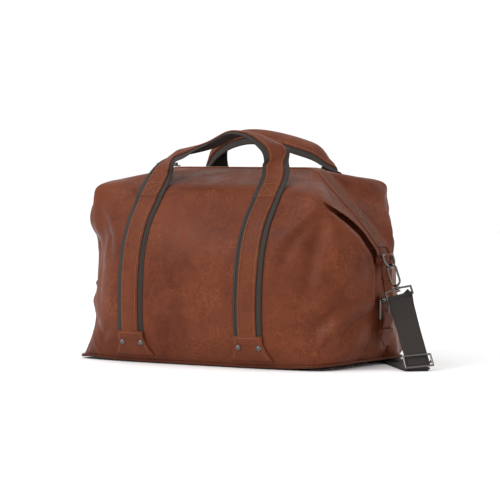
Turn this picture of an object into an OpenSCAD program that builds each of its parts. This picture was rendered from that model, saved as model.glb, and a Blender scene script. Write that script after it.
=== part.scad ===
// Weekender bag: two wrap-round leather panels that meet along a top zip, with folded-in top
// corners, webbing handles that run down to the base, end belts, and a clip-on shoulder strap.
// Frame: X along the bag, the front faces -Y, +Z up, origin at the centre of the base on the floor.
// Every soft piece is a closed solid of its outer size. Lengths are in millimetres.

/* [Body] */
// Half the length of the base
base_half_x = 232; // [225:1:240]
// Half the depth of the base
base_half_y = 138; // [134:1:140]
// Half the length across the upright ends
end_half_x = 260; // [254:1:264]
// Half the depth at the belly, the deepest level
belly_half_y = 152; // [148:1:154]
// Height of the belly above the floor
belly_z = 62; // [56:1:68]
// Height of the flat top that carries the zip
top_z = 311; // [306:1:316]
// Lift of the soft base at its two ends
base_lift = 12; // [8:1:14]
// Thickness of leather and backing in the body panels
panel_t = 3; // [2:0.5:4]

/* [Handles and strips] */
// Distance from the middle of the bag to the middle of each strip
strip_x = 112; // [104:1:118]
// Width of the handle webbing
webbing_w = 50; // [46:1:52]
// Width of the leather sewn on the webbing
overlay_w = 32; // [28:1:36]
// Thickness of the webbing, and of the leather on it
layer_t = 1.8; // [1.4:0.1:2]
// Height of the top of both handles
grip_z = 368; // [362:1:372]

/* [End fittings] */
// Inner width of the D-rings
ring_w = 26; // [24:1:28]
// Width of the end belts
belt_w = 28; // [26:1:30]
// Height of the D-ring bars above the floor
ring_bar_z = 176; // [174:1:178]
// Lean of the clipped hooks away from the bag, in degrees
hook_lean = 20; // [16:1:22]

/* [Shoulder strap] */
// Width of the strap webbing
strap_w = 38; // [36:1:38]
// Thickness of the strap webbing
strap_t = 1.8; // [1.4:0.1:2]

/* [Hidden] */

leather = [0.45, 0.22, 0.15];
dark_leather = [0.36, 0.17, 0.11];
webbing = [0.24, 0.21, 0.19];
gunmetal = [0.32, 0.31, 0.31];
fabric = [0.20, 0.18, 0.17];

// Facets round each rounded edge of the soft body
edge_fn = 24;
// Profile circles of the body, each [y, z, r]: base edge, belly, shoulder and top edge
base_r = 10;
belly_r = 42;
shoulder_r = 20;
top_r = 10;
base_c = [base_half_y - base_r, base_r, base_r];
belly_c = [belly_half_y - belly_r, belly_z, belly_r];
shoulder_c = [86, 258, shoulder_r];
top_c = [14, top_z - top_r, top_r];
// Half lengths of the straight rods that follow those circles
base_rod_x = 150;
belly_rod_x = 160;
shoulder_rod_x = 160;
top_rod_x = 150;
// Plan corners, [x, y] of the rounded corner of each level
base_corner = [base_half_x - base_r, base_c[0] - 10];
belly_corner = [end_half_x - belly_r, belly_c[0] - 22];
shoulder_corner = [196, shoulder_c[0] - 10];
// The wings: outer ends of the folded-in top corners
wing_r = 16;
wing_y = 64;
wing_z = 218;
// The valley between the wings, which the zip runs down
zip_half = 14;
zip_end_z = 185;
valley_top_z = 245;
valley_top_y = 62;
chain_half = 3.4;
// The end panel's half width at the base, where it narrows, and at its top
insert_ys = [41, 26, zip_half];
insert_zs = [base_lift, 55, zip_end_z];
tray_z = base_lift;
patch_top_z = 51;
patch_bottom_z = 16;
strip_foot_z = patch_top_z + 0.5;
rivet_z = 35.5;
rivet_pitch = 37;
gap = 0.2;

function unit(v) = v / norm(v);
function mid(a, b, t) = a * (1 - t) + b * t;

// ---- Soft body ----

module rod(half_x, c, d) {
    for (s = [-1, 1])
        translate([0, s * c[0], c[1]])
            rotate([0, 90, 0])
                cylinder(r = c[2] + d, h = 2 * half_x, center = true, $fn = edge_fn);
}

module corners(p, z, r) {
    for (sx = [-1, 1], sy = [-1, 1])
        translate([sx * p[0], sy * p[1], z])
            sphere(r = r, $fn = edge_fn);
}

// The whole outer form, grown by d all round
module bag_form(d) {
    difference() {
        hull() {
            rod(base_rod_x, base_c, d);
            rod(belly_rod_x, belly_c, d);
            rod(shoulder_rod_x, shoulder_c, d);
            rod(top_rod_x, top_c, d);
            corners(base_corner, base_c[1] + base_lift, base_r + d);
            corners(belly_corner, belly_c[1], belly_r + d);
            corners(shoulder_corner, shoulder_c[1], shoulder_r + d);
            corners([end_half_x - wing_r, wing_y], wing_z, wing_r + d);
            translate([-end_half_x - d, -wing_y, belly_z])
                cube([2 * (end_half_x + d), 2 * wing_y, wing_z - belly_z]);
        }
        for (s = [-1, 1])
            valley(s, d);
    }
}

// Wedge cut between the two wings of one end, its flat bottom as wide as the zip tapes
module valley(s, d) {
    slope = unit([top_z - zip_end_z, end_half_x + 2 - top_rod_x]);
    low = [end_half_x + 2, zip_end_z];
    high = [top_rod_x, top_z];
    out = 40;
    translate([s * d * slope[0], 0, d * slope[1]])
        hull() {
            for (y = [-zip_half, zip_half]) {
                translate([s * high[0], y, high[1]])
                    cube(0.02, center = true);
                translate([s * low[0], y, low[1]])
                    cube(0.02, center = true);
                translate([s * (low[0] + out), y, low[1]])
                    cube(0.02, center = true);
            }
            for (y = [-valley_top_y, valley_top_y])
                translate([s * (low[0] + out), y, valley_top_z + 20])
                    cube(0.02, center = true);
            for (y = [-valley_top_y, valley_top_y])
                translate([s * low[0], y, valley_top_z])
                    cube(0.02, center = true);
        }
}

module shell(outer, inner) {
    difference() {
        bag_form(outer);
        bag_form(inner);
    }
}

module slab(z0, z1) {
    translate([-350, -250, z0])
        cube([700, 500, z1 - z0]);
}

// Long block whose outline is given in the YZ plane
module along_x(x0, x1, outline) {
    translate([x0, 0, 0])
        rotate([90, 0, 90])
            linear_extrude(x1 - x0)
                polygon(outline);
}

// Outline of the end insert, from the base up to the end of the zip
module insert_block(x0, x1) {
    right = [for (i = [0:2]) [insert_ys[i], insert_zs[i]]];
    left = [for (i = [2:-1:0]) [-insert_ys[i], insert_zs[i]]];
    along_x(x0, x1, concat(right, left));
}

module wrap_panel(s) {
    inner_edge = [for (i = [0:2]) [s * insert_ys[i], insert_zs[i]]];
    outline = concat([[s * 200, tray_z]], inner_edge, [[s * zip_half, 340], [s * 200, 340]]);
    color(leather)
        intersection() {
            shell(0, -panel_t);
            along_x(-320, 320, outline);
        }
}

module front_panel() { wrap_panel(-1); }
module back_panel() { wrap_panel(1); }

module end_panel(s) {
    color(leather)
        intersection() {
            shell(0, -panel_t);
            insert_block(s > 0 ? 0 : -320, s > 0 ? 320 : 0);
        }
}

module left_end_panel() { end_panel(-1); }
module right_end_panel() { end_panel(1); }

module base_panel() {
    color(dark_leather)
        intersection() {
            shell(0, -panel_t);
            slab(-1, tray_z);
        }
}

module base_board() {
    board_t = 2.8;
    color(fabric)
        intersection() {
            bag_form(-panel_t - gap);
            slab(panel_t + gap, panel_t + gap + board_t);
            cube([2 * base_rod_x, 400, 100], center = true);
        }
}

module lining() {
    lining_t = 1;
    outer = -panel_t - gap;
    floor_z = 6.2;
    color(fabric)
        difference() {
            union() {
                intersection() {
                    shell(outer, outer - lining_t);
                    slab(floor_z, 400);
                }
                intersection() {
                    bag_form(outer);
                    slab(floor_z, floor_z + lining_t);
                    cube([2 * base_rod_x, 400, 100], center = true);
                }
            }
            translate([-320, -chain_half, zip_end_z])
                cube([640, 2 * chain_half, 200]);
        }
}

module base_piping() {
    color(dark_leather)
        intersection() {
            shell(1.8, 0);
            slab(tray_z - 1.5, tray_z + 1.5);
        }
}

// ---- Zip ----

module zip_band(y0, y1, outer, inner) {
    intersection() {
        shell(outer, inner);
        translate([-320, y0, zip_end_z])
            cube([640, y1 - y0, 200]);
    }
}

module zip_tape_front() { color(fabric) zip_band(-zip_half, -chain_half, -0.6, -1.8); }
module zip_tape_back() { color(fabric) zip_band(chain_half, zip_half, -0.6, -1.8); }
module zip_chain() { color(gunmetal) zip_band(-chain_half, chain_half, 0.4, -2); }

slider_x = -138;
slider_len = 13;
slider_w = 11;
slider_lift = 0.7;
pull_eye_z = top_z + 5.2;

module zip_slider() {
    color(gunmetal) {
        translate([slider_x - slider_len / 2, -slider_w / 2, top_z + slider_lift])
            cube([slider_len, slider_w, 2.2]);
        for (s = [-1, 1])
            translate([slider_x - 2.5, s * 3.1 - 1, top_z + slider_lift + 2.2])
                cube([5, 2, 4.2]);
        translate([slider_x, 0, pull_eye_z])
            rotate([90, 0, 0])
                cylinder(r = 0.8, h = 6, center = true, $fn = 24);
    }
}

module zip_pull() {
    color(gunmetal)
        difference() {
            union() {
                translate([slider_x, 0, pull_eye_z])
                    rotate([90, 0, 0])
                        cylinder(r = 1.9, h = 3.4, center = true, $fn = 32);
                translate([slider_x - 8, -1.7, pull_eye_z - 0.8])
                    cube([7, 3.4, 1.6]);
                translate([slider_x - 34, -5, pull_eye_z - 1.2])
                    cube([27, 10, 2.4]);
            }
            translate([slider_x, 0, pull_eye_z])
                rotate([90, 0, 0])
                    cylinder(r = 0.86, h = 6, center = true, $fn = 32);
        }
}

// ---- Strips, patches and rivets ----

module body_profile(d) {
    hull()
        for (c = [base_c, belly_c, shoulder_c, top_c], s = [-1, 1])
            translate([s * c[0], c[1]])
                circle(r = c[2] + d, $fn = edge_fn);
}

roof_y = 71;

// A layer lying on the body between two levels, w wide, its inner and outer faces d0 and d1 out
module layer(x, s, w, d0, d1, z0, z1) {
    translate([x - w / 2, 0, 0])
        rotate([90, 0, 90])
            linear_extrude(w)
                intersection() {
                    difference() {
                        body_profile(d1);
                        body_profile(d0);
                    }
                    translate([s > 0 ? roof_y : -200, z0])
                        square([200 - roof_y, z1 - z0]);
                }
}

module strip(sx, sy) {
    color(webbing)
        layer(sx * strip_x, sy, webbing_w, 0, layer_t, strip_foot_z, top_z);
}

module overlay(sx, sy) {
    color(leather)
        layer(sx * strip_x, sy, overlay_w, layer_t, 2 * layer_t, strip_foot_z, top_z);
}

module front_left_strip() { strip(-1, -1); }
module front_right_strip() { strip(1, -1); }
module rear_left_strip() { strip(-1, 1); }
module rear_right_strip() { strip(1, 1); }
module front_left_overlay() { overlay(-1, -1); }
module front_right_overlay() { overlay(1, -1); }
module rear_left_overlay() { overlay(-1, 1); }
module rear_right_overlay() { overlay(1, 1); }

// Slope of the body below the belly: the tangent of the base and belly circles
foot_run = [belly_c[0] - base_c[0], belly_c[1] - base_c[1]];
foot_tilt = asin((belly_r - base_r) / norm(foot_run)) + atan(foot_run[0] / foot_run[1]);
foot_start = [base_c[0] + base_r * cos(foot_tilt), base_c[1] - base_r * sin(foot_tilt)];
rivet_y = foot_start[0] + (rivet_z - foot_start[1]) * tan(foot_tilt);
patch_t = 3;
rivet_shank_r = 1.5;

// Places its children at each rivet of one patch, their +Z pointing out of the leather
module at_rivets(sx, sy) {
    for (side = [-1, 1])
        translate([sx * strip_x + side * rivet_pitch / 2, sy * rivet_y, rivet_z])
            rotate([sy > 0 ? -90 - foot_tilt : 90 + foot_tilt, 0, 0])
                children();
}

// Foot patch: a stitched tab as wide as the webbing whose sides flare out to the base
module patch(sx, sy) {
    flare = 12;
    waist_z = 40;
    color(leather)
        difference() {
            intersection() {
                layer(sx * strip_x, sy, webbing_w + 2 * flare, 0, patch_t, patch_bottom_z, patch_top_z);
                translate([sx * strip_x, 200, 0])
                    rotate([90, 0, 0])
                        linear_extrude(400)
                            polygon([
                                [-webbing_w / 2, patch_top_z + 1], [webbing_w / 2, patch_top_z + 1],
                                [webbing_w / 2, waist_z], [webbing_w / 2 + 4, 30],
                                [webbing_w / 2 + flare, patch_bottom_z - 1],
                                [-webbing_w / 2 - flare, patch_bottom_z - 1],
                                [-webbing_w / 2 - 4, 30], [-webbing_w / 2, waist_z]
                            ]);
            }
            at_rivets(sx, sy)
                cylinder(r = rivet_shank_r + 0.05, h = 12, center = true, $fn = 24);
        }
}

module front_left_patch() { patch(-1, -1); }
module front_right_patch() { patch(1, -1); }
module rear_left_patch() { patch(-1, 1); }
module rear_right_patch() { patch(1, 1); }

module rivets() {
    color(gunmetal)
        for (sx = [-1, 1], sy = [-1, 1])
            at_rivets(sx, sy) {
                translate([0, 0, 0.4])
                    cylinder(r = rivet_shank_r, h = patch_t - 0.1, $fn = 24);
                translate([0, 0, patch_t + 0.3])
                    cylinder(r = 4.6, h = 1.1, $fn = 32);
                translate([0, 0, patch_t + 1.4])
                    cylinder(r1 = 4.6, r2 = 2.6, h = 0.9, $fn = 32);
            }
}

// ---- Swept ribbons ----

function catmull(p0, p1, p2, p3, t) =
    0.5 * (2 * p1 + (p2 - p0) * t + (2 * p0 - 5 * p1 + 4 * p2 - p3) * t * t
    + (3 * p1 - p0 - 3 * p2 + p3) * t * t * t);

// n points a span on a smooth curve through the points
function smooth_path(pts, n) = [
    for (i = [0:len(pts) - 2], k = [0:(i == len(pts) - 2 ? n : n - 1)])
        catmull(pts[max(i - 1, 0)], pts[i], pts[i + 1], pts[min(i + 2, len(pts) - 1)], k / n)
];

// Each station is [x, y, z, wide_x, wide_y, wide_z]: a point and the direction of the width there
function place(q) = [q[0], q[1], q[2]];
function wide_raw(q) = [q[3], q[4], q[5]];
function run_at(st, i) =
    unit(place(st[min(i + 1, len(st) - 1)]) - place(st[max(i - 1, 0)]));
function wide_at(st, i) =
    unit(wide_raw(st[i]) - run_at(st, i) * (wide_raw(st[i]) * run_at(st, i)));

// Flat band of width w between the levels n0 and n1 along its own normal
module ribbon(st, w, n0, n1) {
    rings = [
        for (i = [0:len(st) - 1])
            let (p = place(st[i]), a = wide_at(st, i), n = cross(run_at(st, i), a))
                each [
                    p - a * w / 2 + n * n0, p + a * w / 2 + n * n0,
                    p + a * w / 2 + n * n1, p - a * w / 2 + n * n1
                ]
    ];
    last = 4 * (len(st) - 1);
    sides = [
        for (i = [0:len(st) - 2], k = [0:3])
            let (a = 4 * i + k, b = 4 * i + (k + 1) % 4)
                each [[a, b, b + 4], [a, b + 4, a + 4]]
    ];
    ends = [[0, 2, 1], [0, 3, 2], [last, last + 1, last + 2], [last, last + 2, last + 3]];
    polyhedron(rings, concat(sides, ends), convexity = 6);
}

// ---- Handles ----

handle_y = 76;
// Right half of the front handle, from the body's top to the middle of the grip: x, z, and how
// far the band has turned from upright, as on the body, to flat, as in the hand
handle_half = [
    [strip_x, 293, 0], [strip_x - 1, 304, 5], [strip_x - 9, 320, 20],
    [strip_x - 30, 338, 42], [strip_x - 66, 354, 64], [0, grip_z - 4, 76]
];
arch_centre_z = 250;
function handle_station(x, z, turn) =
    concat([x, -handle_y, z], cos(turn) * unit([x, 0, z - arch_centre_z]) + sin(turn) * [0, 1, 0]);
handle_path = smooth_path(concat(
    [for (i = [0:5]) handle_station(-handle_half[i][0], handle_half[i][1], handle_half[i][2])],
    [for (i = [4:-1:0]) handle_station(handle_half[i][0], handle_half[i][1], handle_half[i][2])]
), 10);

module front_handle_webbing() { color(webbing) ribbon(handle_path, webbing_w, -layer_t, 0); }
module front_handle_leather() { color(leather) ribbon(handle_path, overlay_w, 0.8, 0.8 + layer_t); }
module rear_handle_webbing() { rotate([0, 0, 180]) front_handle_webbing(); }
module rear_handle_leather() { rotate([0, 0, 180]) front_handle_leather(); }

// ---- End fittings: D-ring, hook and belt, drawn for the right end ----

wire_r = 2;
ring_bar_x = end_half_x + 8;
ring_drop = 21;
run_fit = 0.05;

// Draws the right end's part, or its mirror image at the left end
module at_end(s) {
    mirror([s > 0 ? 0 : 1, 0, 0])
        children();
}

module along_y(r, w) {
    rotate([90, 0, 0])
        cylinder(r = r, h = w, center = true, $fn = 32);
}

module ring_tab(s) {
    loop_r = wire_r + 2.2;
    color(leather)
        at_end(s)
            difference() {
                union() {
                    translate([ring_bar_x, 0, ring_bar_z])
                        along_y(loop_r, ring_w - 8);
                    translate([end_half_x, 4 - ring_w / 2, ring_bar_z - 26])
                        cube([2.2, ring_w - 8, 34]);
                    translate([end_half_x, 4 - ring_w / 2, ring_bar_z + 1])
                        cube([8, ring_w - 8, 3.2]);
                }
                translate([ring_bar_x, 0, ring_bar_z])
                    along_y(wire_r + run_fit, ring_w);
            }
}

module left_ring_tab() { ring_tab(-1); }
module right_ring_tab() { ring_tab(1); }

module at_hook() {
    translate([ring_bar_x, 0, ring_bar_z])
        rotate([0, -hook_lean, 0])
            children();
}

// D-ring: a straight bar, two short sides and a half round bow, hanging with the hook's lean
module dring(s) {
    arc_r = ring_w / 2 + wire_r;
    side_len = ring_drop - arc_r;
    color(gunmetal)
        at_end(s) {
            translate([ring_bar_x, 0, ring_bar_z])
                along_y(wire_r, 2 * arc_r);
            at_hook() {
                for (side = [-1, 1]) {
                    translate([0, side * arc_r, 0])
                        sphere(r = wire_r, $fn = 24);
                    translate([0, side * arc_r, -side_len])
                        cylinder(r = wire_r, h = side_len, $fn = 32);
                }
                translate([0, 0, -side_len])
                    intersection() {
                        rotate([0, 90, 0])
                            rotate_extrude($fn = 64)
                                translate([arc_r, 0])
                                    circle(r = wire_r, $fn = 32);
                        translate([-10, -50, -50])
                            cube([20, 100, 50]);
                    }
            }
        }
}

module left_dring() { dring(-1); }
module right_dring() { dring(1); }

// Snap hook: its upper loop passes round the D-ring's bow and lies square to it
hook_top = -ring_drop + wire_r + 2.4;
hook_loop_r = 8;
hook_wire_r = 1.7;
hook_mid = hook_top - hook_loop_r;
hook_low = hook_mid - 18;
swivel_z = hook_low - hook_loop_r;
gate_x = -hook_loop_r;

module hook_arc(from_z, up) {
    intersection() {
        translate([0, 0, from_z])
            rotate([90, 0, 0])
                rotate_extrude($fn = 64)
                    translate([hook_loop_r, 0])
                        circle(r = hook_wire_r, $fn = 24);
        translate([-20, -5, up ? from_z : from_z - 30])
            cube([40, 10, 30]);
    }
}

module hook(s) {
    color(gunmetal)
        at_end(s)
            at_hook() {
                hook_arc(hook_mid, true);
                hook_arc(hook_low, false);
                translate([hook_loop_r, 0, hook_low])
                    cylinder(r = hook_wire_r, h = hook_mid - hook_low, $fn = 24);
                translate([0, 0, swivel_z - 8.2])
                    cylinder(r = 1.6, h = 8.2, $fn = 24);
                translate([0, 0, swivel_z - 10.4])
                    cylinder(r = 3.4, h = 2.4, $fn = 32);
            }
}

module left_hook() { hook(-1); }
module right_hook() { hook(1); }

module hook_gate(s) {
    clear = 0.4;
    color(gunmetal)
        at_end(s)
            at_hook() {
                translate([gate_x, 0, hook_low + clear])
                    cylinder(r = 1.5, h = hook_mid - hook_low - 2 * clear, $fn = 24);
                translate([gate_x - 2.4, 0, hook_low + 3])
                    rotate([0, 90, 0])
                        cylinder(r = 1.4, h = 2, $fn = 24);
            }
}

module left_hook_gate() { hook_gate(-1); }
module right_hook_gate() { hook_gate(1); }

// Bow: the swivelling loop that carries the strap, with a collar round the hook's shank
bow_top = swivel_z - 4.2;
bow_turn = -52;
bow_bar_z = bow_top - 14;
bow_in = strap_w / 2 + 1.5;

module hook_bow(s) {
    color(gunmetal)
        at_end(s)
            at_hook()
                rotate([0, 0, bow_turn]) {
                    difference() {
                        translate([0, 0, bow_top - 2.4])
                            cylinder(r = 4, h = 4.2, $fn = 32);
                        translate([0, 0, bow_top - 5])
                            cylinder(r = 1.6 + run_fit, h = 10, $fn = 32);
                    }
                    for (side = [-1, 1]) {
                        translate([0, side * 3, bow_top - 0.3])
                            rotate([-side * 96, 0, 0])
                                cylinder(r = 1.7, h = bow_in - 3, $fn = 24);
                        translate([0, side * bow_in, bow_bar_z])
                            cylinder(r = 1.7, h = 12, $fn = 24);
                        translate([0, side * bow_in, bow_bar_z])
                            sphere(r = 1.7, $fn = 24);
                        translate([0, side * bow_in, bow_bar_z + 12])
                            sphere(r = 1.7, $fn = 24);
                    }
                    translate([0, 0, bow_bar_z])
                        along_y(1.7, 2 * bow_in);
                }
}

module left_hook_bow() { hook_bow(-1); }
module right_hook_bow() { hook_bow(1); }

// End belt: a fixed lower strap that holds the buckle, and a loose strap through it
heel_x = end_half_x + 6.2;
heel_z = 77;
roller_z = 105;
roller_x = heel_x;
roller_r = 3.1;
frame_half = belt_w / 2 + 4.5;
prong_half = 2.2;

module belt_anchor(s) {
    color(leather)
        at_end(s)
            difference() {
                union() {
                    translate([end_half_x, -belt_w / 2, 50])
                        cube([2.4, belt_w, heel_z - 50]);
                    translate([heel_x, 0, heel_z])
                        along_y(wire_r + 2, belt_w);
                    translate([end_half_x, -belt_w / 2, heel_z - 3.4])
                        cube([5, belt_w, 1.6]);
                }
                translate([heel_x, 0, heel_z])
                    along_y(wire_r + run_fit, belt_w + 10);
                translate([heel_x - 10, -prong_half - 0.5, heel_z - 5])
                    cube([30, 2 * prong_half + 1, 12]);
            }
}

module left_belt_anchor() { belt_anchor(-1); }
module right_belt_anchor() { belt_anchor(1); }

// The loose strap rises behind the roller, crosses the heel bar and ends in a round tip
module belt(s) {
    t = 2;
    x0 = end_half_x + 0.2;
    over_x = heel_x + wire_r + 2;
    low_x = end_half_x + 2.6;
    centre = [[x0, 136], [x0, 104], [over_x, heel_z + 4], [over_x, heel_z - 4], [low_x, 62], [low_x, 34]];
    outline = concat(centre, [for (i = [5:-1:0]) [centre[i][0] + t, centre[i][1]]]);
    color(leather)
        at_end(s)
            difference() {
                intersection() {
                    translate([0, belt_w / 2, 0])
                        rotate([90, 0, 0])
                            linear_extrude(belt_w)
                                polygon(outline);
                    union() {
                        translate([0, -50, 34 + belt_w / 2])
                            cube([400, 100, 200]);
                        translate([0, 0, 34 + belt_w / 2])
                            rotate([0, 90, 0])
                                cylinder(r = belt_w / 2, h = 400, $fn = 64);
                    }
                }
                translate([end_half_x, -prong_half - 0.8, heel_z - 5])
                    cube([20, 2 * prong_half + 1.6, roller_z - heel_z + 7]);
            }
}

module left_belt() { belt(-1); }
module right_belt() { belt(1); }

module belt_keeper(s) {
    wall = 1.6;
    x_in = end_half_x + 6.6;
    color(leather)
        at_end(s)
            difference() {
                translate([end_half_x, -belt_w / 2 - wall - 0.6, 55])
                    cube([x_in + wall - end_half_x + 0.4, belt_w + 2 * wall + 1.2, 9]);
                translate([end_half_x - 1, -belt_w / 2 - 0.6, 50])
                    cube([x_in - end_half_x + 1.4, belt_w + 1.2, 20]);
            }
}

module left_belt_keeper() { belt_keeper(-1); }
module right_belt_keeper() { belt_keeper(1); }

module buckle_frame(s) {
    color(gunmetal)
        at_end(s) {
            translate([heel_x, 0, heel_z])
                along_y(wire_r, 2 * frame_half);
            translate([roller_x, 0, roller_z])
                along_y(1.5, 2 * frame_half);
            for (side = [-1, 1]) {
                translate([heel_x, side * frame_half, heel_z])
                    cylinder(r = wire_r, h = roller_z - heel_z, $fn = 32);
                translate([heel_x, side * frame_half, heel_z])
                    sphere(r = wire_r, $fn = 32);
                translate([roller_x, side * frame_half, roller_z])
                    sphere(r = wire_r, $fn = 32);
            }
        }
}

module left_buckle_frame() { buckle_frame(-1); }
module right_buckle_frame() { buckle_frame(1); }

module buckle_roller(s) {
    color(gunmetal)
        at_end(s)
            translate([roller_x, 0, roller_z])
                difference() {
                    along_y(roller_r, 2 * frame_half - 2 * wire_r - 1);
                    along_y(1.5 + run_fit, 2 * frame_half);
                }
}

module left_buckle_roller() { buckle_roller(-1); }
module right_buckle_roller() { buckle_roller(1); }

module buckle_prong(s) {
    tip_x = roller_x + roller_r + 1.9;
    start_x = heel_x + 2.6;
    lean = atan((tip_x - start_x) / (roller_z - heel_z));
    color(gunmetal)
        at_end(s)
            difference() {
                union() {
                    translate([heel_x, 0, heel_z])
                        along_y(3.4, 2 * prong_half);
                    translate([start_x, 0, heel_z])
                        rotate([0, lean, 0])
                            cylinder(r = 1.5, h = roller_z - heel_z + 3, $fn = 24);
                }
                translate([heel_x, 0, heel_z])
                    along_y(wire_r + run_fit, 20);
            }
}

module left_buckle_prong() { buckle_prong(-1); }
module right_buckle_prong() { buckle_prong(1); }

// ---- Shoulder strap ----

// Right bow's bar, which the strap turns round, and the foot of the drop below it
bow_centre = [ring_bar_x - sin(hook_lean) * bow_bar_z, 0, ring_bar_z + cos(hook_lean) * bow_bar_z];
floor_z = strap_t / 2 + 0.3;
loop_gap = 4;

// Two thicknesses of webbing from the bow down to the strap's adjuster, as stations like a ribbon's
drop_foot = [344, -36, 14];
drop_head = bow_centre - [0, 0, loop_gap];
right_drop = [
    concat(drop_head, [0.74, 0.61, 0.27]),
    concat(mid(drop_head, drop_foot, 0.25), [0.72, 0.65, 0.15]),
    concat(mid(drop_head, drop_foot, 0.5), [0.7, 0.7, 0.05]),
    concat(mid(drop_head, drop_foot, 0.75), [0.68, 0.73, 0]),
    concat(drop_foot, [0.68, 0.73, 0])
];

left_foot = [-303, 36, 10];
left_head = [-drop_head[0], 0, drop_head[2]];
left_drop = [
    concat(left_head, [-0.74, 0.61, 0.27]),
    concat(mid(left_head, left_foot, 0.5), [-0.85, 0.5, 0.1]),
    concat(left_foot, [-0.95, 0.25, 0])
];

// The part on the floor, from the foot of the right drop round the back to the left drop
floor_stations = [
    [346, -38, 9, 0.68, 0.73, 0],
    [346.5, -39.5, 5, 0.7, 0.7, 0],
    [342, -35, floor_z, 0.7, 0.7, 0],
    [326, -19, floor_z, 0.7, 0.7, 0],
    [290, 20, floor_z, 0.7, 0.7, 0],
    [247, 66, floor_z, 0.7, 0.7, 0],
    [205, 116, floor_z, 0.77, 0.64, 0],
    [175, 152, floor_z, 0.62, 0.78, 0],
    [120, 184, floor_z, 0.27, 0.96, 0],
    [40, 190, floor_z, 0, 1, 0],
    [-60, 188, floor_z, 0, 1, 0],
    [-150, 186, floor_z, -0.1, 1, 0],
    [-215, 172, floor_z, -0.4, 0.9, 0],
    [-266, 134, floor_z, -0.8, 0.6, 0],
    [-292, 84, floor_z, -0.97, 0.25, 0],
    [-302, 46, 3, -1, 0.2, 0],
    [-303.5, 38.5, 7, -1, 0.2, 0]
];

module strap_piece(stations, n, t) {
    color(webbing)
        ribbon(smooth_path(stations, n), strap_w, -t / 2, t / 2);
}

module shoulder_strap() { strap_piece(floor_stations, 4, strap_t); }
module right_strap_drop() { strap_piece(right_drop, 3, 2 * strap_t); }
module left_strap_drop() { strap_piece(left_drop, 4, 2 * strap_t); }

// Adjuster: an oblong frame in front of the webbing and a bar behind it, posts at both sides
drop_run = unit(drop_foot - drop_head);
foot_wide = [0.68, 0.73, 0];
drop_wide = unit(foot_wide - drop_run * (foot_wide * drop_run));
drop_face = cross(drop_run, drop_wide);
slider_place = drop_foot;
slider_half_w = strap_w / 2 + 3.2;
slider_half_h = 10;

module in_strap_plane() {
    multmatrix([
        [drop_wide[0], drop_run[0], drop_face[0], slider_place[0]],
        [drop_wide[1], drop_run[1], drop_face[1], slider_place[1]],
        [drop_wide[2], drop_run[2], drop_face[2], slider_place[2]]
    ])
        children();
}

module bar_between(a, b, r) {
    translate(a)
        rotate([0, acos((b - a)[2] / norm(b - a)), atan2((b - a)[1], (b - a)[0])])
            cylinder(r = r, h = norm(b - a), $fn = 24);
}

module strap_slider() {
    bar_r = 1.5;
    front = strap_t + bar_r + 0.6;
    color(gunmetal)
        in_strap_plane() {
            for (side = [-1, 1]) {
                bar_between([-slider_half_w, side * slider_half_h, front],
                    [slider_half_w, side * slider_half_h, front], bar_r);
                bar_between([side * slider_half_w, -slider_half_h, front],
                    [side * slider_half_w, slider_half_h, front], bar_r);
                bar_between([side * slider_half_w, 0, front], [side * slider_half_w, 0, -front], bar_r);
                for (up = [-1, 1])
                    translate([side * slider_half_w, up * slider_half_h, front])
                        sphere(r = bar_r, $fn = 24);
            }
            bar_between([-slider_half_w, 0, -front], [slider_half_w, 0, -front], bar_r);
        }
}

front_panel();
back_panel();
left_end_panel();
right_end_panel();
base_panel();
base_board();
lining();
base_piping();
zip_tape_front();
zip_tape_back();
zip_chain();
zip_slider();
zip_pull();
front_left_strip();
front_right_strip();
rear_left_strip();
rear_right_strip();
front_left_overlay();
front_right_overlay();
rear_left_overlay();
rear_right_overlay();
front_handle_webbing();
rear_handle_webbing();
front_handle_leather();
rear_handle_leather();
front_left_patch();
front_right_patch();
rear_left_patch();
rear_right_patch();
rivets();
left_ring_tab();
right_ring_tab();
left_dring();
right_dring();
left_hook();
right_hook();
left_hook_gate();
right_hook_gate();
left_hook_bow();
right_hook_bow();
left_belt_anchor();
right_belt_anchor();
left_belt();
right_belt();
left_belt_keeper();
right_belt_keeper();
left_buckle_frame();
right_buckle_frame();
left_buckle_roller();
right_buckle_roller();
left_buckle_prong();
right_buckle_prong();
shoulder_strap();
left_strap_drop();
right_strap_drop();
strap_slider();
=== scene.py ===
"""Weekender bag: the visible model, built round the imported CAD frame. Lengths in metres."""
import bpy, bmesh, math
import numpy as np
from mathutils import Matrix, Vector, noise


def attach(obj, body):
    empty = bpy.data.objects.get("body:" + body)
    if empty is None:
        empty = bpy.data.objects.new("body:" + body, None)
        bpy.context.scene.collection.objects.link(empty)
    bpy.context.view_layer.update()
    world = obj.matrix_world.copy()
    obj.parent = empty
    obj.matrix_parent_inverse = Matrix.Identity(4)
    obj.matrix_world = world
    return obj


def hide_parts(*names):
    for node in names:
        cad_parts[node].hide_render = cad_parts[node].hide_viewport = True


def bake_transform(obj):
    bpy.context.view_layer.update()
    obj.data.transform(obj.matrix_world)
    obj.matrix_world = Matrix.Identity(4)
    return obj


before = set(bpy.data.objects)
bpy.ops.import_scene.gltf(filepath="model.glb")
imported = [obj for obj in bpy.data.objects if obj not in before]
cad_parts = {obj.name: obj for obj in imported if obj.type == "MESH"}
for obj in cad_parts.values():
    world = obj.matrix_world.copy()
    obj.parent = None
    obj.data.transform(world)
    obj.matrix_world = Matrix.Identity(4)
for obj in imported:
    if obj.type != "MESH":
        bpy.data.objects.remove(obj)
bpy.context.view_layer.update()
MM = 0.001


# ---------------------------------------------------------------- materials

MATS = {}


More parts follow.
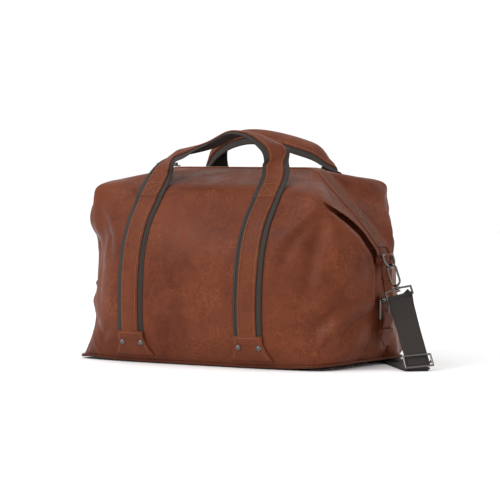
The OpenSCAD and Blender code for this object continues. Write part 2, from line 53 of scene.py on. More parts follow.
class Surface:
    """A material being built, with short ways to add its nodes and join them."""

    def __init__(self, name):
        self.mat = MATS[name] = bpy.data.materials.new(name)
        self.mat.use_nodes = True
        self.tree = self.mat.node_tree
        self.shader = self.tree.nodes["Principled BSDF"]
        coordinates = self.node("TexCoord").outputs
        self.place, self.uv = coordinates["Object"], coordinates["UV"]

    def put(self, socket, value):
        """Links a socket to another one, or sets it to a number or a colour."""
        if isinstance(value, bpy.types.NodeSocket):
            self.tree.links.new(value, socket)
        elif value is not None:
            socket.default_value = value

    def node(self, kind, first=(), **values):
        """Adds a node: values name its inputs or settings, and `first` fills its first inputs."""
        node = self.tree.nodes.new("ShaderNode" + kind)
        for key, value in values.items():
            if key in node.inputs:
                self.put(node.inputs[key], value)
            else:
                setattr(node, key, value)
        for socket, value in zip(node.inputs, first):
            self.put(socket, value)
        return node

    def cloud(self, scale, detail, roughness=0.5, distortion=0.0, output="Fac"):
        return self.node("TexNoise", [self.place], Scale=scale, Detail=detail, Roughness=roughness,
                         Distortion=distortion).outputs[output]

    def cells(self, vector, scale, **values):
        return self.node("TexVoronoi", [vector], Scale=scale, **values).outputs["Distance"]

    def maths(self, operation, *values):
        return self.node("Math", values, operation=operation).outputs[0]

    def remap(self, value, low, high, to_low=0.0, to_high=1.0, kind="LINEAR"):
        return self.node("MapRange", (value, low, high, to_low, to_high),
                         interpolation_type=kind).outputs["Result"]

    def ramp(self, value, stops):
        node = self.node("ValToRGB", [value])
        elements = node.color_ramp.elements
        while len(elements) < len(stops):
            elements.new(0.5)
        for element, (place, colour) in zip(elements, stops):
            element.position = place
            element.color = (*colour, 1)
        return node.outputs["Color"]

    def finished(self, colour, rough, bumps=(), specular=0.5, metallic=0.0):
        """Joins it all to the shader; each bump is a (height socket, strength, distance in metres)."""
        normal = None
        for height, strength, distance in bumps:
            bump = self.node("Bump", Strength=strength, Distance=distance, Height=height, Normal=normal)
            normal = bump.outputs["Normal"]
        for key, value in (("Base Color", colour), ("Roughness", rough), ("Normal", normal),
                           ("Specular IOR Level", specular), ("Metallic", metallic)):
            self.put(self.shader.inputs[key], value)
        return self.mat


def leather(name, dark, mid, light, vein, rough=(0.37, 0.55)):
    """Pull-up leather: cloudy colour, fine rubbed veins in patches, pebble grain and soft creases."""
    new = Surface(name)

    def fitted(value, *limits):
        return new.remap(value, *limits, kind="SMOOTHSTEP")

    middle = new.cloud(34.0, 4.0, 0.6, 0.8)
    fine = new.cloud(230.0, 4.0, 0.65)
    small = new.maths("MULTIPLY_ADD", middle, 0.3, new.maths("MULTIPLY", fine, 0.22))
    blend = new.maths("MULTIPLY_ADD", new.cloud(8.0, 5.0, 0.55, 0.5), 0.5, small)
    colour = new.ramp(blend, [(0.40, dark), (0.51, mid), (0.62, light)])

    wander = new.cloud(30.0, 3.0, 0.6, output="Color")
    warp = new.node("VectorMath", (wander, (0.020, 0.020, 0.020), new.place), operation="MULTIPLY_ADD")
    edges = [new.cells(warp.outputs[0], scale, feature="DISTANCE_TO_EDGE") for scale in (95.0, 210.0)]
    wide, narrow = [fitted(edge, 0.0, 0.10, 1.0, 0.0) for edge in edges]
    patches = fitted(new.cloud(13.0, 4.0, 0.6, 0.6), 0.44, 0.66)
    veins = new.maths("MAXIMUM", wide, new.maths("MULTIPLY", narrow, 0.7))
    veins = new.maths("MULTIPLY", veins, patches)
    veins = new.maths("MULTIPLY", veins, fitted(fine, 0.35, 0.6, 0.15, 0.62))
    mix = new.node("Mix", [veins], data_type="RGBA")
    under, over = [s for s in mix.inputs if s.type == "RGBA"]
    new.put(under, colour)
    new.put(over, (*vein, 1))
    pebble = new.cells(new.place, 560.0, feature="SMOOTH_F1", Smoothness=0.6)
    crease = new.cloud(46.0, 7.0, 0.62, 1.2)
    bumps = [(crease, 0.30, 0.0012), (veins, 0.30, 0.0003), (pebble, 0.45, 0.0003)]
    return new.finished(next(s for s in mix.outputs if s.type == "RGBA"), fitted(middle, 0.35, 0.65, *rough),
                        bumps, specular=0.10)


def webbing(name, base, light, rib=0.0016, twill=0.0):
    """Woven tape: ribs across the width from the UVs, which are in metres; twill slants them."""
    new = Surface(name)
    uv = new.node("SeparateXYZ", [new.uv]).outputs

    def stripes(weight_u, weight_v, period):
        turn = 2 * math.pi / period
        across = new.maths("MULTIPLY", uv["X"], weight_u * turn)
        return new.maths("SINE", new.maths("MULTIPLY_ADD", uv["Y"], weight_v * turn, across))

    ribs = stripes(twill, 1.0, rib)
    weft = stripes(1.0, -0.5 * twill, rib * 0.9)
    level = new.remap(new.maths("MULTIPLY_ADD", new.maths("MULTIPLY", ribs, weft), 0.6, ribs), -1.4, 1.4)
    colour = new.ramp(level, [(0.1, [c * 0.55 for c in base]), (0.55, base), (0.95, light)])
    fuzz = new.cloud(900.0, 3.0)
    return new.finished(colour, 0.72, [(level, 0.7, 0.0005), (fuzz, 0.25, 0.0003)], specular=0.3)


def metal(name, colour, rough):
    """Dark plated metal with fine handling marks."""
    new = Surface(name)
    marks = new.cloud(260.0, 5.0, 0.6)
    tint = new.ramp(marks, [(0.3, [c * 0.75 for c in colour]), (0.7, colour)])
    gloss = new.remap(marks, 0.0, 1.0, rough * 0.7, rough * 1.5)
    return new.finished(tint, gloss, [(marks, 0.12, 0.0002)], metallic=1.0)


def thread(name, colour):
    """Twisted sewing thread."""
    new = Surface(name)
    twist = new.cloud(1500.0, 2.0)
    tint = new.ramp(twist, [(0.3, [c * 0.6 for c in colour]), (0.7, colour)])
    return new.finished(tint, 0.6, [(twist, 0.5, 0.0002)])


leather("body_leather", (0.080, 0.0180, 0.0076), (0.112, 0.0275, 0.0116), (0.138, 0.0355, 0.0156),
        (0.215, 0.060, 0.021))
leather("base_leather", (0.050, 0.0120, 0.0055), (0.072, 0.0185, 0.0080), (0.095, 0.0250, 0.0110),
        (0.12, 0.035, 0.014))
leather("trim_leather", (0.088, 0.0210, 0.0090), (0.114, 0.0290, 0.0122), (0.136, 0.0360, 0.0155),
        (0.18, 0.052, 0.019), rough=(0.42, 0.56))
leather("belt_leather", (0.072, 0.0175, 0.0075), (0.100, 0.0250, 0.0105), (0.126, 0.0330, 0.0140),
        (0.17, 0.048, 0.018), rough=(0.36, 0.5))
leather("board", (0.02, 0.02, 0.02), (0.03, 0.03, 0.03), (0.04, 0.04, 0.04), (0.05, 0.05, 0.05))
webbing("handle_webbing", (0.027, 0.0210, 0.0172), (0.052, 0.0410, 0.0340))
webbing("strap_webbing", (0.025, 0.0195, 0.0165), (0.046, 0.0370, 0.0320), twill=0.8)
webbing("zip_tape", (0.026, 0.018, 0.014), (0.048, 0.036, 0.030), rib=0.0009)
webbing("lining", (0.05, 0.04, 0.035), (0.09, 0.075, 0.065), rib=0.0008)
metal("zip_metal", (0.16, 0.14, 0.13), 0.3)
metal("gunmetal", (0.145, 0.134, 0.127), 0.13)
metal("rivet", (0.15, 0.145, 0.14), 0.32)
thread("thread", (0.33, 0.125, 0.052))
thread("dark_thread", (0.05, 0.04, 0.035))


# ---------------------------------------------------------------- curves and shapes
# A shape is (points, faces) or (points, faces, uvs).

def unit(v):
    v = np.asarray(v, float)
    return v / np.maximum(np.linalg.norm(v, axis=-1, keepdims=True), 1e-12)


def lengths(path):
    """How far along a path each of its points lies."""
    return np.r_[0, np.cumsum(np.linalg.norm(np.diff(path, axis=0), axis=1))]


def read_at(places, known, rows):
    """Rows that belong to the known places, read off at other places."""
    return np.stack([np.interp(places, known, rows[:, k]) for k in range(rows.shape[1])], -1)


def smoothed(rows, times):
    """Evens each row out between its neighbours, in place, and keeps the first and last."""
    for _ in range(times):
        rows[1:-1] = (rows[:-2] + 2 * rows[1:-1] + rows[2:]) / 4
    return rows


def catmull(points, samples):
    """Smooth curve through the points: `samples` places even in the points' own index."""
    pts = np.asarray(points, float)
    last = len(pts) - 1
    t = np.asarray(samples, float)
    i = np.clip(np.floor(t).astype(int), 0, last - 1)
    f = (t - i)[:, None]
    p0 = pts[np.clip(i - 1, 0, last)]
    p1, p2 = pts[i], pts[i + 1]
    p3 = pts[np.clip(i + 2, 0, last)]
    p0 = np.where((i == 0)[:, None], 2 * p1 - p2, p0)
    p3 = np.where((i + 1 == last)[:, None], 2 * p2 - p1, p3)
    return 0.5 * (2 * p1 + (p2 - p0) * f + (2 * p0 - 5 * p1 + 4 * p2 - p3) * f ** 2
                  + (3 * p1 - p0 - 3 * p2 + p3) * f ** 3)


def even_path(points, step):
    """Smooth curve through the points, resampled at an even step along its length."""
    dense = catmull(points, np.linspace(0, len(points) - 1, 40 * len(points)))
    run = lengths(dense)
    count = max(2, int(round(run[-1] / step)) + 1)
    return read_at(np.linspace(0, run[-1], count), run, dense)


def grid_faces(rows, cols, flip=False, wrap=False):
    faces = []
    for r in range(rows - 1):
        for c in range(cols if wrap else cols - 1):
            a, b = r * cols + c, r * cols + (c + 1) % cols
            quad = [a, b, b + cols, a + cols]
            faces.append(quad[::-1] if flip else quad)
    return faces


def grid_shape(grid):
    return grid.reshape(-1, 3), grid_faces(*grid.shape[:2])


def grid_normals(grid):
    """Unit normals of a (rows, cols, 3) grid of points."""
    return unit(np.cross(np.gradient(grid, axis=1), np.gradient(grid, axis=0)))


def merged(shapes):
    """One shape from several without UVs."""
    points, faces = [], []
    for more_points, more_faces in shapes:
        faces.extend([[i + len(points) for i in face] for face in more_faces])
        points.extend(more_points)
    return points, faces


def tube(path, radius, sides, closed=False):
    """A round wire along a path."""
    n = len(path)
    run = unit(np.roll(path, -1, 0) - np.roll(path, 1, 0) if closed else np.gradient(path, axis=0))
    side = unit(np.cross(run[0], [0, 0, 1] if abs(run[0][2]) < 0.9 else [0, 1, 0]))
    points = []
    for k in range(n):
        side = unit(side - run[k] * np.dot(side, run[k]))
        other = np.cross(run[k], side)
        for a in np.linspace(0, 2 * math.pi, sides, endpoint=False):
            points.append(path[k] + radius * (math.cos(a) * side + math.sin(a) * other))
    faces = grid_faces(n, sides, wrap=True)
    last = (n - 1) * sides
    if closed:
        faces += [[last + c, last + (c + 1) % sides, (c + 1) % sides, c] for c in range(sides)]
    else:
        faces += [list(range(sides))[::-1], list(range(last, n * sides))]
    return points, faces


def band_ways(path, wide):
    """Directions of a band's width and of its face, which is along cross(run, wide)."""
    run = unit(np.gradient(path, axis=0))
    wide = unit(wide - run * np.sum(wide * run, 1, keepdims=True))
    return wide, np.cross(run, wide)


EDGE_ROUND = 0.35
CROSSWISE = np.array([0.0, 1.0, 0.0])


def band(path, wide, width, thickness, lift=0.0, across=7, crown=0.0):
    """Closed flat band with rounded edges, lying `lift` above its path; width may vary along it."""
    wide, face = band_ways(path, wide)
    half = np.broadcast_to(width / 2, len(path))
    s = np.linspace(-1, 1, across)
    inner = 1 - thickness * EDGE_ROUND / half.max()
    outline = ([(x * inner, thickness + crown * (1 - x * x)) for x in s] + [(1, thickness / 2)]
               + [(x * inner, 0.0) for x in s[::-1]] + [(-1, thickness / 2)])
    run = lengths(path)
    points, uvs = [], []
    for k in range(len(path)):
        for a, h in outline:
            points.append(path[k] + wide[k] * a * half[k] + face[k] * (h + lift))
            uvs.append((a * half[k], run[k]))
    m = len(outline)
    faces = grid_faces(len(path), m, flip=True, wrap=True)
    faces += [list(range(m)), list(range((len(path) - 1) * m, len(path) * m))[::-1]]
    return points, faces, uvs


STITCH_PITCH, STITCH_LENGTH, STITCH_RADIUS, STITCH_LIFT = 3.4 * MM, 2.6 * MM, 0.42 * MM, 0.18 * MM
STITCH_DIP = np.array([-1.0, 0.35, 0.35, -1.0])[:, None] * STITCH_RADIUS


def stitches(path, out):
    """A row of separate stitches along a path; out is the direction away from the leather."""
    out = np.broadcast_to(out, path.shape)
    run = lengths(path)
    wires = []
    for start in np.arange(STITCH_PITCH * 0.5, run[-1] - STITCH_LENGTH, STITCH_PITCH):
        at = np.linspace(start, start + STITCH_LENGTH, len(STITCH_DIP))
        centre = read_at(at, run, path) + unit(read_at(at, run, out)) * (STITCH_DIP + STITCH_LIFT)
        wires.append(tube(centre, STITCH_RADIUS, sides=5))
    return merged(wires)


def mesh_object(name, points, faces, uvs=None):
    mesh = bpy.data.meshes.new(name)
    mesh.from_pydata([tuple(map(float, p)) for p in points], [], [tuple(map(int, f)) for f in faces])
    if uvs is not None:
        layer = mesh.uv_layers.new(name="UVMap")
        corner_points = np.zeros(len(mesh.loops), int)
        mesh.loops.foreach_get("vertex_index", corner_points)
        layer.data.foreach_set("uv", np.asarray(uvs, np.float32)[corner_points].ravel())
    mesh.update()
    obj = bpy.data.objects.new(name, mesh)
    bpy.context.scene.collection.objects.link(obj)
    return obj


def piece(name, shape, slot, replaced=(), material=None, smooth=True, ride=True, sign=1):
    """A visible piece: its mesh, mirrored to the left end when sign is -1, its material, which is the slot's
    unless material names another, the nodes that it stands for, which it hides, and its place on the body."""
    points, faces, *uvs = shape
    obj = mesh_object(name, np.asarray(points) * (sign, 1, 1), [f[::sign] for f in faces], *uvs)
    obj.data.materials.append(MATS[material or slot])
    if smooth:
        obj.data.polygons.foreach_set("use_smooth", [True] * len(obj.data.polygons))
    if replaced:
        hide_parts(*replaced)
    if ride:
        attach(obj, "root")
    return obj


# ---------------------------------------------------------------- the soft body

# Right half of the front skin in millimetres: rows from the base welt up to the zip, each from
# the middle of the front round the corner to the end insert, then to the zip's end valley.
NET = [
    [(0, -140, 3), (112, -138, 3), (165, -136, 4), (208, -131, 6), (230, -117, 8), (237, -93, 9),
     (237, -64, 9), (235, -42, 9)],
    [(0, -150, 17), (112, -148, 17), (168, -144, 18), (214, -134, 20), (238, -114, 23), (246, -88, 25),
     (248, -62, 25), (247, -38, 25)],
    [(0, -160, 50), (112, -158, 50), (168, -151, 50), (212, -134, 52), (238, -112, 55), (251, -84, 57),
     (256, -56, 58), (256, -28, 58)],
    [(0, -162, 95), (112, -161, 95), (168, -151, 95), (212, -131, 97), (240, -107, 99), (254, -80, 100),
     (259, -52, 101), (260, -24, 101)],
    [(0, -161, 140), (112, -159, 140), (168, -147, 140), (212, -128, 141), (241, -105, 142),
     (255, -76, 143), (260, -48, 144), (261, -20, 145)],
    [(0, -155, 183), (112, -152, 183), (166, -140, 183), (206, -122, 183), (236, -101, 182),
     (253, -76, 181), (260, -46, 180), (261, -15, 182)],
    [(0, -138, 223), (112, -136, 223), (165, -127, 222), (202, -114, 220), (230, -98, 216),
     (249, -76, 212), (253, -46, 207), (244, -15, 208)],
    [(0, -114, 256), (112, -112, 256), (164, -109, 254), (198, -106, 250), (218, -98, 245),
     (230, -76, 238), (232, -45, 232), (221, -15, 232)],
    [(0, -94, 278), (112, -92, 278), (162, -93, 276), (190, -94, 271), (204, -86, 265), (209, -68, 259),
     (206, -42, 254), (196, -15, 257)],
    [(0, -56, 295), (112, -54, 295), (150, -55, 292), (170, -56, 286), (181, -53, 281), (184, -45, 277),
     (180, -32, 276), (172, -15, 280)],
    [(0, -15, 310), (60, -15, 310), (95, -15, 310), (118, -15, 310), (130, -15, 309.5),
     (138, -15, 308.5), (145, -15, 306), (153, -15, 299)],
]
# Where single corners differ from that net: (row, column) and the place there instead
LEFT_CORNER = {
    (0, 4): (237, -119, 4), (0, 5): (243, -92, 5), (1, 3): (212, -133, 17), (1, 4): (234, -112, 19),
    (1, 5): (243, -84, 22), (2, 3): (206, -129, 52), (2, 4): (225, -102, 55), (2, 5): (242, -78, 57),
    (3, 3): (206, -124, 97), (3, 4): (225, -97, 99), (3, 5): (243, -72, 100), (4, 3): (204, -121, 141),
    (4, 4): (224, -93, 142), (4, 5): (241, -67, 143), (5, 3): (200, -117, 183), (5, 4): (221, -92, 184),
    (5, 5): (240, -66, 184), (6, 4): (229, -98, 222), (6, 5): (249, -78, 222), (7, 2): (168, -110, 262),
    (7, 3): (204, -109, 262), (7, 4): (226, -103, 262), (7, 5): (238, -80, 254), (7, 6): (236, -48, 240),
    (8, 2): (168, -97, 284), (8, 3): (203, -99, 284), (8, 4): (222, -95, 281), (8, 5): (226, -75, 273),
    (8, 6): (214, -44, 261), (9, 2): (152, -58, 299), (9, 3): (180, -61, 295), (9, 4): (199, -60, 292),
    (9, 5): (203, -50, 285)}
REAR_CORNER = {
    (0, 4): (220, -110, 8), (1, 4): (228, -106, 24), (1, 5): (238, -84, 26), (2, 3): (208, -128, 52),
    (2, 4): (229, -98, 55), (2, 5): (242, -76, 57), (2, 6): (251, -52, 58), (3, 3): (208, -122, 97),
    (3, 4): (229, -95, 99), (3, 5): (244, -72, 100), (3, 6): (254, -48, 101), (4, 3): (206, -117, 141),
    (4, 4): (226, -91, 142), (4, 5): (241, -68, 143), (4, 6): (253, -45, 144), (5, 3): (202, -112, 183),
    (5, 4): (222, -88, 183), (5, 5): (238, -66, 183), (5, 6): (252, -43, 181), (6, 4): (218, -94, 220),
    (6, 5): (231, -70, 216), (7, 3): (198, -110, 262), (7, 4): (206, -98, 258), (7, 5): (218, -76, 248),
    (8, 1): (112, -97, 284), (8, 2): (166, -105, 288), (8, 3): (195, -107, 287), (8, 4): (203, -98, 280),
    (8, 5): (209, -76, 268), (9, 1): (112, -57, 299), (9, 2): (150, -62, 299), (9, 3): (173, -67, 296),
    (9, 4): (187, -66, 291), (9, 5): (189, -52, 283)}
# The crease where the top corner folds in: place in millimetres, then depth and width
GROOVE = [(211, -94, 258, 3, 3), (221, -86, 247, 18, 6), (232, -75, 236, 32, 8.5), (243, -64, 222, 36, 9.5),
          (254, -49, 203, 31, 8), (260, -31, 180, 22, 6), (261, -21, 158, 15, 4.5), (261, -20, 133, 12, 4),
          (260, -25, 106, 8, 4), (258, -27, 82, 0.5, 4)]
# Soft folds: places along each in millimetres, height (hollows below zero) and width
FOLDS = [
    ([(262, -34, 105), (252, -80, 93), (240, -106, 73), (226, -128, 42)], 11.0, 8.5),
    ([(258, -34, 82), (254, -66, 70), (246, -92, 50), (240, -104, 30)], -10.0, 8.5),
    ([(250, -88, 104), (238, -108, 92), (222, -128, 66)], -5.0, 7),
    ([(214, -98, 246), (216, -108, 228), (211, -118, 196), (207, -130, 150), (201, -140, 105)], -9.0, 13),
    ([(222, -98, 240), (233, -98, 212), (244, -96, 168), (247, -96, 130)], 4.0, 11),
    ([(208, -104, 250), (186, -122, 228), (166, -138, 204)], 5.5, 9),
    ([(204, -112, 236), (178, -132, 200), (168, -142, 168)], -5.5, 10),
    ([(250, -60, 150), (236, -104, 122), (212, -132, 92)], 3.6, 10),
    ([(141, -160, 62), (176, -149, 42), (198, -142, 52)], -3.6, 11),
    ([(228, -114, 84), (214, -130, 66), (196, -140, 62)], -4.0, 9),
    ([(216, -132, 46), (202, -138, 26)], 4.5, 6),
    ([(230, -120, 40), (222, -126, 20)], -4.5, 5),
    ([(60, -158, 70), (0, -162, 84), (-50, -160, 60)], 1.2, 26),
    ([(70, -150, 190), (10, -154, 205), (-60, -150, 185)], -1.8, 30),
]
SEED = 7


def half_net(changes):
    net = np.array(NET, float)
    for (row, col), place in changes.items():
        net[row, col] = place
    return net


def skin_grid(rows, cols, left, right):
    """A side's smooth form as a (rows, cols, 3) grid in metres, left to right and base to zip."""
    left, right = half_net(left), half_net(right)
    net = np.concatenate([left[:, :0:-1] * (-1, 1, 1), right], 1) * MM
    across = np.linspace(0, net.shape[1] - 1, cols)
    up = np.linspace(0, len(net) - 1, rows)
    lines = np.stack([catmull(row, across) for row in net])
    return np.stack([catmull(lines[:, c], up) for c in range(cols)], 1)


def nearest_on(points, polyline):
    """Distance from each point to a polyline of (x, y, z, extra...) rows, and the row there."""
    best = np.full(len(points), 1e9)
    row = np.zeros((len(points), polyline.shape[1]))
    for a, b in zip(polyline[:-1], polyline[1:]):
        d = b[:3] - a[:3]
        t = np.clip((points - a[:3]) @ d / (d @ d), 0, 1)
        far = np.linalg.norm(points - (a[:3] + t[:, None] * d), axis=1)
        closer = far < best
        best[closer] = far[closer]
        row[closer] = (a + t[:, None] * (b - a))[closer]
    return best, row


def cloudy(points, scale, seed):
    """Smooth noise at each point."""
    shift = Vector((seed * 13.1, seed * 7.7, seed * 3.3))
    return np.array([noise.noise(Vector(p) * scale + shift) for p in points.tolist()])


def creased(grid, seed, side):
    """Adds the folds, the creases at the folded-in corners and the slack of the leather."""
    out = grid_normals(grid).reshape(-1, 3)
    flat = grid.reshape(-1, 3)
    moved = flat.copy()
    rng = np.random.default_rng(seed)
    for sign in (1, -1):
        match = flat * (sign, 1, 1)
        here = match[:, 0] > -0.03
        for places, height, width in FOLDS:
            line = np.array(places, float) * MM
            if sign * side < 0:
                line = line + rng.normal(0, 0.006, line.shape) * (1, 0, 1.4)
                height, width = height * rng.uniform(0.5, 1.1), width * rng.uniform(0.8, 1.3)
            run = lengths(line)
            fade = np.sin(np.pi * (0.12 + 0.76 * run / run[-1]))
            far, row = nearest_on(match, np.c_[line, fade])
            push = height * MM * row[:, 3] * np.exp(-(far / (width * MM)) ** 2) * here
            moved += out * push[:, None]
        far, row = nearest_on(match, np.array(GROOVE, float) * MM)
        above = (match - row[:, :3]) @ np.array([0.0, 0.8, 0.6]) > 0
        reach = np.where(above, far, -far) / np.maximum(row[:, 4], 0.001)
        depth = row[:, 3] * np.exp(-np.abs(reach) ** 2.4) * here
        lip = row[:, 3] * np.exp(-((reach - 1.6) / 0.8) ** 2) * here
        rim = row[:, 3] * np.exp(-((reach + 1.9) / 0.9) ** 2) * here
        moved += depth[:, None] * np.array([-sign * 0.55, 0.72, 0.05])
        moved += lip[:, None] * (0.15 * out + np.array([0.0, -0.12, -0.10])) + 0.08 * rim[:, None] * out
    slack = 1.5 * cloudy(flat, 14, seed) + 0.7 * cloudy(flat, 34, seed + 1)
    ripple = cloudy(flat * (1.0, 1.0, 0.35), 62, seed + 2)
    near_end = np.clip((np.abs(flat[:, 0]) - 0.14) / 0.06, 0, 1)
    edge = np.clip((0.311 - flat[:, 2]) / 0.05, 0, 1) * np.clip((flat[:, 2] - 0.004) / 0.04, 0, 1)
    moved += out * ((slack * (0.45 + 0.55 * near_end) + 0.9 * ripple * near_end) * edge * MM)[:, None]
    return moved.reshape(grid.shape)


SKIN_THICKNESS = 0.0028


def turned_edge(grid):
    """The grid with a border turned in all round, so that its edges look like thick leather."""
    inner = grid - grid_normals(grid) * SKIN_THICKNESS
    wide = np.concatenate([inner[:, :1], grid, inner[:, -1:]], 1)
    inner_rows = np.concatenate([inner[:, :1], inner, inner[:, -1:]], 1)
    return np.concatenate([inner_rows[:1], wide, inner_rows[-1:]], 0)


def sheet_solid(points, normals, low, high):
    """A closed layer lying between two offsets of a grid, with its rim pulled in a little."""
    rows, cols = points.shape[:2]
    count = rows * cols
    faces = grid_faces(rows, cols)
    faces += [[i + count for i in f] for f in grid_faces(rows, cols, flip=True)]
    rim = ([(0, c) for c in range(cols)] + [(r, cols - 1) for r in range(1, rows)]
           + [(rows - 1, c) for c in range(cols - 2, -1, -1)] + [(r, 0) for r in range(rows - 2, 0, -1)])
    cloud = [*(points + normals * high).reshape(-1, 3), *(points + normals * low).reshape(-1, 3)]
    inward = np.zeros_like(points)
    inward[0] += unit(points[1] - points[0])
    inward[-1] += unit(points[-2] - points[-1])
    inward[:, 0] += unit(points[:, 1] - points[:, 0])
    inward[:, -1] += unit(points[:, -2] - points[:, -1])
    middle = points + normals * (low + (high - low) * 0.6) - inward * 0.35 * (high - low)
    for k, (r, c) in enumerate(rim):
        cloud.append(middle[r, c])
        next_k = (k + 1) % len(rim)
        a, b = r * cols + c, rim[next_k][0] * cols + rim[next_k][1]
        m0, m1 = 2 * count + k, 2 * count + next_k
        faces += [[b, a, m0, m1], [m1, m0, a + count, b + count]]
    return cloud, faces


ROWS, COLS = ((230, 560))
SKIN, OUT = {}, {}
SKIN[-1] = creased(skin_grid(ROWS, COLS, LEFT_CORNER, {}), SEED, 1)
OUT[-1] = grid_normals(SKIN[-1])
from_behind = creased(skin_grid(ROWS, COLS, {}, REAR_CORNER), SEED + 20, -1)
SKIN[1] = (from_behind * (1, -1, 1))[:, ::-1]
OUT[1] = (grid_normals(from_behind) * (1, -1, 1))[:, ::-1]
for side, name in ((-1, "front"), (1, "back")):
    piece(f"{name}_skin", grid_shape(turned_edge(SKIN[side])), "body_leather", [f"{name}_panel"])


def skin_at(side, xs, heights):
    """Points and normals on a side's skin at each x for each height of its column."""
    middle = slice(COLS // 6, -COLS // 6)
    rows = np.concatenate([SKIN[side], OUT[side]], 2)[:, middle]
    rows = [row[np.argsort(row[:, 0])] for row in rows]
    columns = [np.stack([read_at(x, row[:, 0], row) for row in rows]) for x in xs]
    found = np.stack([read_at(heights, column[:, 2], column) for column in columns], 1)
    return found[..., :3], unit(found[..., 3:])


# ---- end inserts, between the two skins from the base up to the end of the zip

def edge_column(side, sign):
    """The skin's edge beside the end insert and the zip valley, base first."""
    grid = SKIN[side]
    return grid[:, -1] if sign * grid[0, -1, 0] > 0 else grid[:, 0]


INSERT_DOME = 0.0022
for sign, name in ((1, "right"), (-1, "left")):
    front, back = edge_column(-1, sign), edge_column(1, sign)
    keep = front[:, 2] < 0.20
    t = np.linspace(0, 1, 25)
    grid = np.stack([front[keep] * (1 - s) + back[keep] * s for s in t], 1)
    grid[:, 0] -= CROSSWISE * 0.003
    grid[:, -1] += CROSSWISE * 0.003
    grid[:, :, 0] += sign * INSERT_DOME * (np.sin(np.pi * t) - 1)
    grid[:, :, 0] += sign * 0.0008 * cloudy(grid.reshape(-1, 3), 30, 5).reshape(grid.shape[:2])
    piece(f"{name}_insert", grid_shape(turned_edge(grid[:, ::sign])), "body_leather", [f"{name}_end_panel"])


# ---- base, its welt, the stiffening board and the lining

front, back = SKIN[-1][0], SKIN[1][0]
gaps = [[a[-1] * (1 - s) + b[0] * s for s in (0.25, 0.5, 0.75)] for a, b in ((front, back), (back, front))]
rim_loop = np.concatenate([front, gaps[0], back, gaps[1]])[::2]


def base_height(points):
    """How far the underside is lifted towards the bag's ends."""
    return 0.012 * np.clip((np.abs(points[:, 0]) - 0.150) / 0.078, 0, 1) ** 1.3 + 0.0004


def base_skin():
    flat, top = rim_loop[:, :2], rim_loop[:, 2]
    rings = [np.c_[flat * 0.990, top + 0.004], np.c_[flat * 0.997, top - 0.0005]]
    for scale, mix in ((0.992, 0.55), (0.980, 0.16), (0.962, 0.0), (0.90, 0), (0.7, 0), (0.4, 0), (0.05, 0)):
        inner = flat * scale
        rings.append(np.c_[inner, base_height(inner) * (1 - mix) + (top - 0.0005) * mix])
    n = len(flat)
    faces = grid_faces(len(rings), n, wrap=True, flip=True)
    faces.append(list(range((len(rings) - 1) * n, len(rings) * n)))
    obj = piece("base_skin", (np.concatenate(rings), faces), "base_leather", ["base_panel"])
    bm = bmesh.new()
    bm.from_mesh(obj.data)
    bmesh.ops.recalc_face_normals(bm, faces=bm.faces)
    bm.to_mesh(obj.data)
    bm.free()


base_skin()
welt_path = rim_loop[::3] * (1.004, 1.006, 1) + np.array([0, 0, 0.0008])
piece("base_welt", tube(welt_path, 0.0025, sides=10, closed=True), "base_leather", ["base_piping"])


def inner_lining():
    """The cloth bag inside, drawn in at the ends so that it clears the folded-in corners."""
    parts = []
    front = skin_grid(36, 90, LEFT_CORNER, {})[1:-1]
    back = (skin_grid(36, 90, {}, REAR_CORNER) * (1, -1, 1))[1:-1, ::-1]
    for grid in (front, back):
        past = np.maximum(np.abs(grid[..., 0]) - 0.140, 0)
        grid[..., 0] -= np.sign(grid[..., 0]) * past * 0.62
        parts.append(sheet_solid(grid, grid_normals(grid), -0.0115, -0.0105))
    piece("lining_bag", merged(parts), "lining", ["lining"])


inner_lining()
corner = [(0.135 + 0.01 * math.cos(a), 0.112 + 0.01 * math.sin(a)) for a in np.linspace(0, math.pi / 2, 7)]
plan = (corner + [(-x, y) for x, y in corner[::-1]] + [(-x, -y) for x, y in corner]
        + [(x, -y) for x, y in corner[::-1]])
count = len(plan)
faces = grid_faces(2, count, wrap=True) + [list(range(count))[::-1], list(range(count, 2 * count))]
board = [(x, y, z) for z in (0.0038, 0.0064) for x, y in plan]
piece("base_board_plate", (board, faces), "board", ["base_board"], smooth=False)


# ---- zip: tapes, teeth and the stitched leather lips beside them

ZIP_END = 0.183


def zip_edge(side, y, lower):
    """Line along the zip over the top and down both ends, at a distance y from the middle."""
    top = SKIN[side][-1]
    top = top if top[0, 0] < 0 else top[::-1]
    right, left = edge_column(side, 1)[::-1], edge_column(side, -1)
    line = np.concatenate([left[left[:, 2] > ZIP_END], top, right[right[:, 2] > ZIP_END][1:]])
    line = line[np.r_[True, np.linalg.norm(np.diff(line, axis=0), axis=1) > 2e-4]]
    path = smoothed(even_path(line[::6], 0.003), 4)
    run = unit(np.gradient(path, axis=0))
    up = unit(np.cross(CROSSWISE, run))
    up = np.where(up[:, 2:3] < -0.2, -up, up)
    path[:, 1] = y
    return path + up * lower, up


for side, node in ((-1, "zip_tape_front"), (1, "zip_tape_back")):
    path, up = zip_edge(side, side * 0.0095, -0.0022)
    piece(f"{node}_cloth", band(path, CROSSWISE, 0.0125, 0.0011), "zip_tape", [node])

TOOTH_PITCH = 0.0017
TOOTH_OUTLINE = ((-0.0007, 0.0004), (0.0030, 0.0), (0.0030, 0.0022), (0.0005, 0.0027), (-0.0007, 0.0022))


